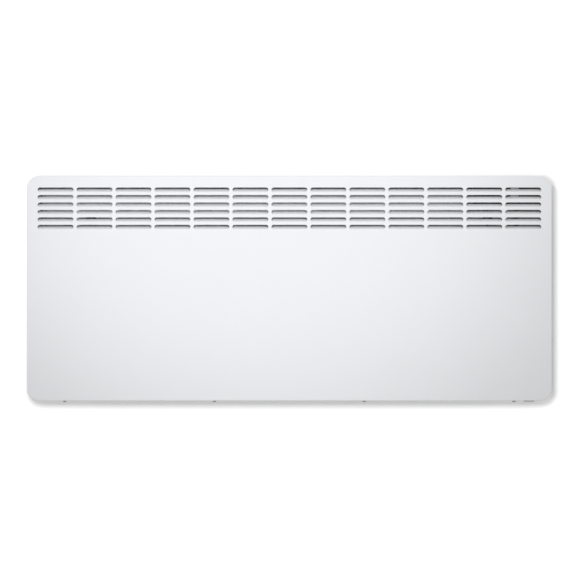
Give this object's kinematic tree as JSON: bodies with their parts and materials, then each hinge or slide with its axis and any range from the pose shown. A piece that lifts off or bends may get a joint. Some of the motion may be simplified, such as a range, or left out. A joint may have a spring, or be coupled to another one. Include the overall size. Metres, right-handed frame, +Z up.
{
  "type": "wall panel convector heater",
  "caption": "White wall-hung electric panel convector with a pressed louvre field along the top, wall bracket, top control unit and mains rocker switch.",
  "frame": {"origin": "centre of the four wall-screw holes, on the wall plane, which is also the middle of the heater's front outline", "axes": "+X to the right for someone facing the heater, +Y from the room into the wall, +Z up; the front looks to -Y"},
  "size_m": [1.05, 0.098, 0.4532],
  "materials": {
    "white_powder_coat": "fine smooth powder coat, satin",
    "galvanised_steel": "galvanised sheet, faint spangle",
    "bracket_steel": "zinc plated",
    "dark_zinc_steel": "black zinc",
    "element_aluminium": "extruded, matt",
    "ceramic_white": "unglazed steatite",
    "brass_tabs": "tinned brass",
    "black_plastic": "moulded, fine texture",
    "white_plastic": "moulded, fine texture",
    "grey_plastic": "moulded, fine texture",
    "clear_window": "smoked clear, polished",
    "board_green": "solder mask",
    "sleeve_fabric": "braided glass sleeve"
  },
  "bodies": {
    "heater": {"front_panel": "white_powder_coat", "rear_casing": "galvanised_steel", "panel_screws": "dark_zinc_steel", "bracket_arm_left": "bracket_steel", "bracket_arm_right": "bracket_steel", "bracket_rail_upper": "bracket_steel", "bracket_rail_lower": "bracket_steel", "latch_pin_left": "bracket_steel", "latch_pin_right": "bracket_steel", "wall_foot_left": "black_plastic", "wall_foot_right": "black_plastic", "heat_shield": "galvanised_steel", "compartment_wall": "galvanised_steel", "air_deflector": "galvanised_steel", "heating_element": "element_aluminium", "element_bracket": "galvanised_steel", "element_bush_left": "ceramic_white", "element_bush_right": "ceramic_white", "element_tabs": "brass_tabs", "safety_limiter": "black_plastic", "control_fascia": "white_plastic", "display_window": "clear_window", "display_module": "black_plastic", "control_housing": "black_plastic", "circuit_board": "board_green", "power_relay": "black_plastic", "lead_plug": "grey_plastic", "switch_body": "black_plastic", "switch_tabs": "brass_tabs", "terminal_block": "white_plastic", "cable_gland": "black_plastic", "sensor_holder": "white_plastic", "room_sensor": "black_plastic", "element_lead": "sleeve_fabric", "switch_lead": "sleeve_fabric"},
    "latch_left": {"latch_left": "black_plastic"},
    "latch_right": {"latch_right": "black_plastic"},
    "rocker": {"switch_rocker": "black_plastic"},
    "key_1": {"key_1": "grey_plastic"},
    "key_2": {"key_2": "grey_plastic"},
    "key_3": {"key_3": "grey_plastic"},
    "key_4": {"key_4": "grey_plastic"}
  },
  "joints": [
    {"name": "latch_left_release", "type": "hinge", "parent": "heater", "child": "latch_left", "pos_m": [-0.3985, -0.01, 0.141], "axis": [1, 0, 0], "range_deg": [0, 12], "stiffness_Nm_per_rad": 0.3, "springref_deg": -5.73},
    {"name": "latch_right_release", "type": "hinge", "parent": "heater", "child": "latch_right", "pos_m": [0.3985, -0.01, 0.141], "axis": [1, 0, 0], "range_deg": [0, 12], "stiffness_Nm_per_rad": 0.3, "springref_deg": -5.73},
    {"name": "mains_rocker", "type": "hinge", "parent": "heater", "child": "rocker", "pos_m": [0.481, -0.052, -0.2215], "axis": [0, -1, 0], "range_deg": [0, 16]},
    {"name": "key_1_press", "type": "slide", "parent": "heater", "child": "key_1", "axis": [0, 0, -1], "range_m": [0, 0.0006], "stiffness_N_per_m": 800, "springref_m": -0.0003},
    {"name": "key_2_press", "type": "slide", "parent": "heater", "child": "key_2", "axis": [0, 0, -1], "range_m": [0, 0.0006], "stiffness_N_per_m": 800, "springref_m": -0.0003},
    {"name": "key_3_press", "type": "slide", "parent": "heater", "child": "key_3", "axis": [0, 0, -1], "range_m": [0, 0.0006], "stiffness_N_per_m": 800, "springref_m": -0.0003},
    {"name": "key_4_press", "type": "slide", "parent": "heater", "child": "key_4", "axis": [0, 0, -1], "range_m": [0, 0.0006], "stiffness_N_per_m": 800, "springref_m": -0.0003}
  ]
}
